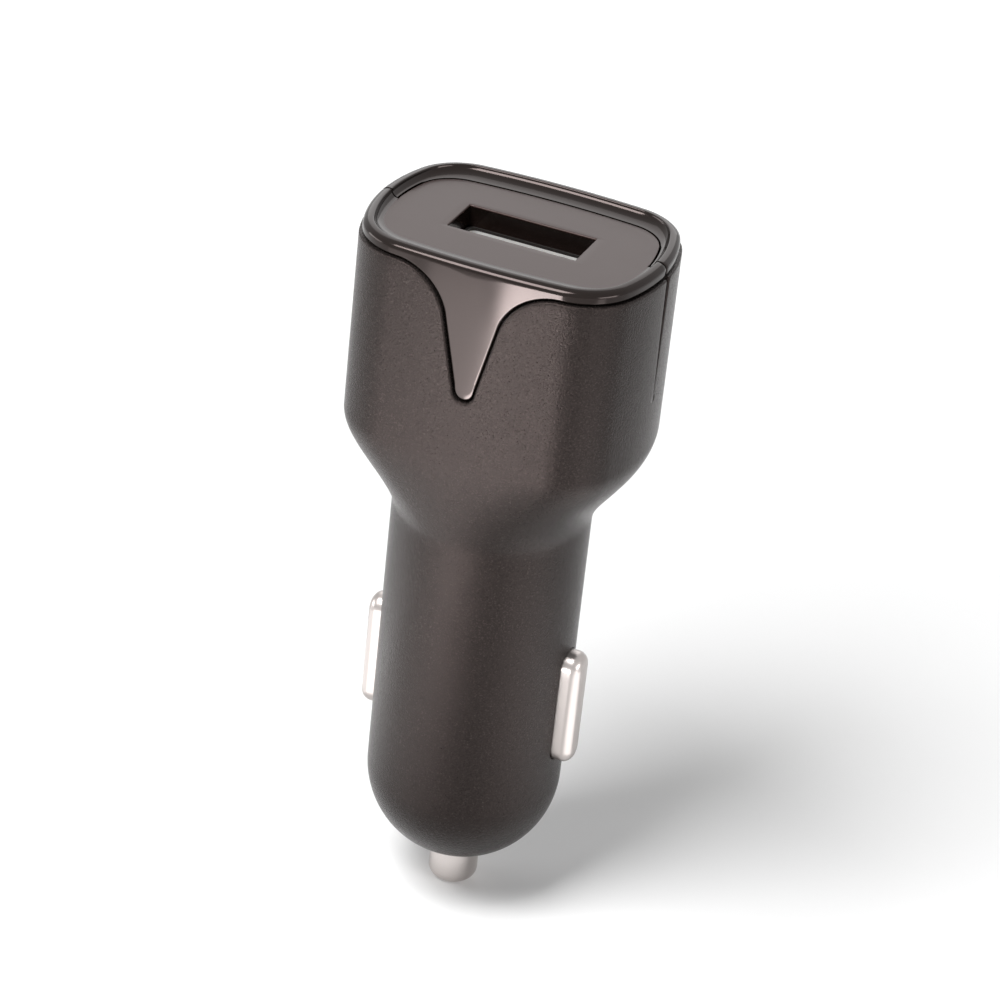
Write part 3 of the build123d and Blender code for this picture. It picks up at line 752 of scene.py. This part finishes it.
def boardFinish():
    # green solder mask, lighter over the copper runs that lie under it
    f = boardColours
    material, shader, place = startMaterial("board")
    square = {"feature": "F1", "distance": "CHEBYCHEV"}
    cells = place.node("ShaderNodeTexVoronoi", square, Vector=place, Scale=f["runScale"])
    runs = cells < f["runShare"]
    mottle = noise(place, 2500.0, 2.0, 0.5)
    feed(shader, "Base Color", mixColour(runs * 0.7 + mottle * 0.3, f["mask"], f["overCopper"]))
    feed(shader, "Roughness", mottle * 0.1 + 0.27)
    feed(shader, "Normal", bump(runs + mottle * 0.1, 0.4, 0.02 * mm))
    return material


wireFinish = {"between": (0.22, 0.07, 0.02), "copper": (0.72, 0.30, 0.13), "turnScale": 900.0}


def woundWire():
    # enamelled copper turns round the choke, one ridge for each turn, with painted shade in the darker colour
    # between the turns
    f = wireFinish
    material, shader, place = startMaterial("woundWire", Metallic=1.0)
    wave = {"Scale": f["turnScale"], "Distortion": 0.3}
    turns = place.node("ShaderNodeTexWave", {"bands_direction": "Y"}, output=1, Vector=place, **wave)
    feed(shader, "Base Color", mixColour(turns, f["between"], f["copper"]))
    feed(shader, "Roughness", turns * 0.1 + 0.25)
    feed(shader, "Normal", bump(turns, 0.8, 0.08 * mm))
    return material


print("stage: finishes")
shellFinish = matteShell()
trimFinish = glossTrim()
n = nickelFinish
# darker nickel on the side contacts: painted shade
shadedContactFinish = plated("shadedContactNickel", n["contact"], n["contactRoughness"], n["grain"])
pinFinish = plated("pinNickel", n["pin"], n["pinRoughness"], n["grain"])
chips = ["converter_chip", "sense_chip", "diode", "fuse"]
chips += ["chip_capacitor_1", "chip_capacitor_2", "chip_resistor_1", "chip_resistor_2"]
strips = ["usb_contact_1", "usb_contact_2", "usb_contact_3", "usb_contact_4"]
springSteel = plated("springSteel", (0.55, 0.55, 0.56), 0.25, 0.3)
cadFinishes = [
    (socketShell(), ["usb_shell"]),
    (plated("goldStrip", (0.95, 0.72, 0.36), 0.22, 0.1), strips),
    (plated("brassSheet", (0.80, 0.62, 0.30), 0.3, 0.3), ["tip_terminal", "ground_bracket"]),
    (springSteel, ["tip_spring", "left_spring", "right_spring"]),
    (plated("canSkin", (0.80, 0.80, 0.82), 0.28, 0.4), ["input_capacitor", "output_capacitor"]),
    (moulded("ferrite", (0.02, 0.02, 0.022), (0.05, 0.05, 0.052), 0.6), ["inductor_core"]),
    (moulded("insulator", (0.010, 0.010, 0.010), (0.018, 0.018, 0.018), 0.5), ["usb_insulator"]),
    (moulded("chipBody", (0.016, 0.016, 0.017), (0.03, 0.03, 0.031), 0.55), chips),
    (boardFinish(), ["circuit_board"]),
    (woundWire(), ["inductor_winding"]),
]
for finish, members in cadFinishes:
    for member in members:
        nodes[member].data.materials.clear()
        nodes[member].data.materials.append(finish)

springShape = {"joint": "center_contact_slide", "travel": 2.5, "weldDistance": 0.001}


def pressedSpring(name, node):
    # the CAD spring's own mesh, with its loose triangles joined
    mesh = nodes[node].data.copy()
    work = bmesh.new()
    work.from_mesh(mesh)
    bmesh.ops.remove_doubles(work, verts=work.verts, dist=springShape["weldDistance"] * mm)
    work.to_mesh(mesh)
    work.free()
    mesh.materials.clear()
    spring = bpy.data.objects.new(name, mesh)
    bpy.context.scene.collection.objects.link(spring)
    return spring


print("stage: bodies")
tipSpring = pressedSpring("tipSpring", "tip_spring")
pieces = [
    (tipSpring, "tip_spring", "housing", "spring_steel", springSteel),
    (frontShell, "front_shell", "housing", "matte_shell", shellFinish),
    (rearShell, "rear_shell", "housing", "matte_shell", shellFinish),
    (frontTrim, "fascia", "housing", "gloss_trim", trimFinish),
    (rearTrim, "rear_trim", "housing", "gloss_trim", trimFinish),
    (tipContact, "center_contact", "tip", "nickel", pinFinish),
    (leftContact, "left_contact", "left", "nickel", shadedContactFinish),
    (rightContact, "right_contact", "right", "nickel", shadedContactFinish),
]
for piece, node, body, slot, finish in pieces:
    piece.data.materials.append(finish)
    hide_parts(node)
    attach(piece, body)
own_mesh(tipSpring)


floorShape = {
    "half": 2.0,
    "colour": (0.88, 0.88, 0.88),
    "glow": 0.07,
    "farGlow": 0.9,
    "fadeFrom": 0.09,
    "fadeTo": 0.45,
    "bounce": (0.30, 0.30, 0.30),
}
worldShape = {"colour": (1.0, 1.0, 1.0), "strength": 0.10}
lampRing = {"middle": (0.0, 0.0, 0.042), "distance": 0.42, "colour": (1.0, 1.0, 1.0), "panelHeight": 0.002}
lamps = {  # turn is counted from the front to the right, rise from the floor, both in degrees
    "leftRim": {"turn": -75.0, "rise": 10.0, "size": (0.26, 0.12), "power": 0.5},
    "rightRim": {"turn": 72.0, "rise": 12.0, "size": (0.24, 0.12), "power": 0.7},
    "key": {"turn": -28.0, "rise": 60.0, "size": (0.20, 0.20), "power": 2.25},
    "back": {"turn": -160.0, "rise": 34.0, "size": (0.34, 0.3), "power": 0.42},
}
lowPanels = {  # panels just over the floor outside the picture, facing up, which the upright walls reflect
    "frontBright": {"turn": -9.0, "near": 0.084, "far": 0.165, "width": 0.030, "power": 0.260},
    "frontMiddle": {"turn": -22.5, "near": 0.084, "far": 0.165, "width": 0.030, "power": 0.041},
    "frontSoft": {"turn": -38.0, "near": 0.084, "far": 0.165, "width": 0.040, "power": 0.026},
    "leftFront": {"turn": -36.0, "near": 0.030, "far": 0.082, "width": 0.024, "power": 0.0115},
    "left": {"turn": -74.0, "near": 0.030, "far": 0.082, "width": 0.062, "power": 0.010},
    "right": {"turn": 76.0, "near": 0.030, "far": 0.082, "width": 0.056, "power": 0.0175},
    "rightFar": {"turn": 62.0, "near": 0.084, "far": 0.165, "width": 0.035, "power": 0.028},
    "rightBack": {"turn": 132.0, "near": 0.030, "far": 0.165, "width": 0.044, "power": 0.004},
}


def whiteRays(tree):
    # 1 for camera, glossy and transmission rays, which see the pale background; 0 for the light that bounces
    rays = tree.nodes.new("ShaderNodeLightPath")
    kinds = ("Is Camera Ray", "Is Glossy Ray", "Is Transmission Ray")
    camera, glossy, clear = (Socket(tree, rays.outputs[kind]) for kind in kinds)
    return camera.maths("MAXIMUM", camera, camera.maths("MAXIMUM", glossy, clear))


def makeFloor():
    # plain floor, large on every side: camera, glossy and transmission rays see it pale, with a glow that
    # grows outwards from fadeFrom to fadeTo; other rays meet the darker bounce, which sends little light back
    f = floorShape
    half = f["half"]
    mesh = bpy.data.meshes.new("floor")
    corners = [(-half, -half, 0), (half, -half, 0), (half, half, 0), (-half, half, 0)]
    mesh.from_pydata(corners, [], [(0, 1, 2, 3)])
    floor = bpy.data.objects.new("floor", mesh)
    bpy.context.scene.collection.objects.link(floor)
    material, shader, place = startMaterial("floor", Roughness=1.0, Specular_IOR_Level=0.0)
    tree = material.node_tree
    shader.inputs["Base Color"].default_value = f["colour"] + (1.0,)
    shader.inputs["Emission Strength"].default_value = 1.0
    reach = place.node("ShaderNodeVectorMath", {"operation": "LENGTH"}, output=1, Vector=place)
    away = place.node("ShaderNodeMapRange", Value=reach, From_Min=f["fadeFrom"], From_Max=f["fadeTo"])
    feed(shader, "Emission Color", mixColour(away, (f["glow"],) * 3, (f["farGlow"],) * 3))
    bounce = tree.nodes.new("ShaderNodeBsdfDiffuse")
    bounce.inputs["Color"].default_value = f["bounce"] + (1.0,)
    pick = tree.nodes.new("ShaderNodeMixShader")
    tree.links.new(whiteRays(tree).link, pick.inputs[0])
    tree.links.new(bounce.outputs[0], pick.inputs[1])
    tree.links.new(shader.outputs[0], pick.inputs[2])
    tree.links.new(pick.outputs[0], tree.nodes["Material Output"].inputs[0])
    mesh.materials.append(material)


def makeArea(name, size, power):
    lamp = bpy.data.lights.new(name, "AREA")
    lamp.shape, lamp.energy, lamp.color = "RECTANGLE", power, lampRing["colour"]
    lamp.size, lamp.size_y = size
    holder = bpy.data.objects.new(name, lamp)
    bpy.context.scene.collection.objects.link(holder)
    return holder


def makeLamp(name, turn, rise, size, power):
    # place on a sphere round the middle: distance times (sin turn cos rise, -cos turn cos rise, sin rise)
    turn, rise = math.radians(turn), math.radians(rise)
    away = Vector((math.sin(turn) * math.cos(rise), -math.cos(turn) * math.cos(rise), math.sin(rise)))
    holder = makeArea(name, size, power)
    holder.location = Vector(lampRing["middle"]) + away * lampRing["distance"]
    holder.rotation_euler = (-away).to_track_quat("-Z", "Y").to_euler()


def makePanel(name, turn, near, far, width, power):
    # flat panel whose long side points away from the plug, shining upwards
    turn = math.radians(turn)
    away = Vector((math.sin(turn), -math.cos(turn), 0.0))
    down = Vector((0.0, 0.0, -1.0))
    holder = makeArea(name, (width, far - near), power)
    place = away * (near + far) / 2.0 + Vector((0.0, 0.0, lampRing["panelHeight"]))
    turned = Matrix((away.cross(down), away, down)).transposed().to_4x4()
    holder.matrix_world = Matrix.Translation(place) @ turned


def makeWorld():
    # soft even light, which camera, glossy and transmission rays see as white
    strength = worldShape["strength"]
    world = bpy.data.worlds.new("studio")
    bpy.context.scene.world = world
    world.use_nodes = True
    tree = world.node_tree
    background = tree.nodes["Background"]
    background.inputs["Color"].default_value = worldShape["colour"] + (1.0,)
    level = whiteRays(tree) * (1.0 - strength) + strength
    tree.links.new(level.link, background.inputs["Strength"])


cameraShape = {
    "azimuth": 20.13,
    "elevation": 29.75,
    "roll": 6.32,
    "distance": 400.0,
    "right": -5.12,
    "up": -39.60,
    "lens": 3764.0,  # focal length in pixels of the square frame
    "frame": 1000.0,
    "sensor": 36.0,
}


def makeCamera():
    # axes from azimuth, elevation and roll; right and up are offsets of the foot from the photograph's centre
    c = cameraShape
    a, e, roll = (math.radians(c[key]) for key in ("azimuth", "elevation", "roll"))
    right = Vector((math.cos(a), math.sin(a), 0.0))
    ahead = Vector((-math.sin(a) * math.cos(e), math.cos(a) * math.cos(e), -math.sin(e)))
    up = right.cross(ahead)
    turnedRight = right * math.cos(roll) + up * math.sin(roll)
    turnedUp = up * math.cos(roll) - right * math.sin(roll)
    place = (-c["right"] * turnedRight - c["up"] * turnedUp - c["distance"] * ahead) * mm
    lens = bpy.data.cameras.new("camera")
    lens.sensor_width = c["sensor"]
    lens.lens = c["sensor"] * c["lens"] / c["frame"]
    lens.clip_start, lens.clip_end = 0.01, 10.0
    camera = bpy.data.objects.new("camera", lens)
    bpy.context.scene.collection.objects.link(camera)
    turn = Matrix((turnedRight, turnedUp, -ahead)).transposed()
    camera.matrix_world = Matrix.Translation(place) @ turn.to_4x4()
    bpy.context.scene.camera = camera


print("stage: floor, light and camera")
makeFloor()
for name, lamp in lamps.items():
    makeLamp(name, **lamp)
for name, panel in lowPanels.items():
    makePanel(name, **panel)
makeWorld()
makeCamera()
bpy.context.scene.view_settings.view_transform = "Standard"
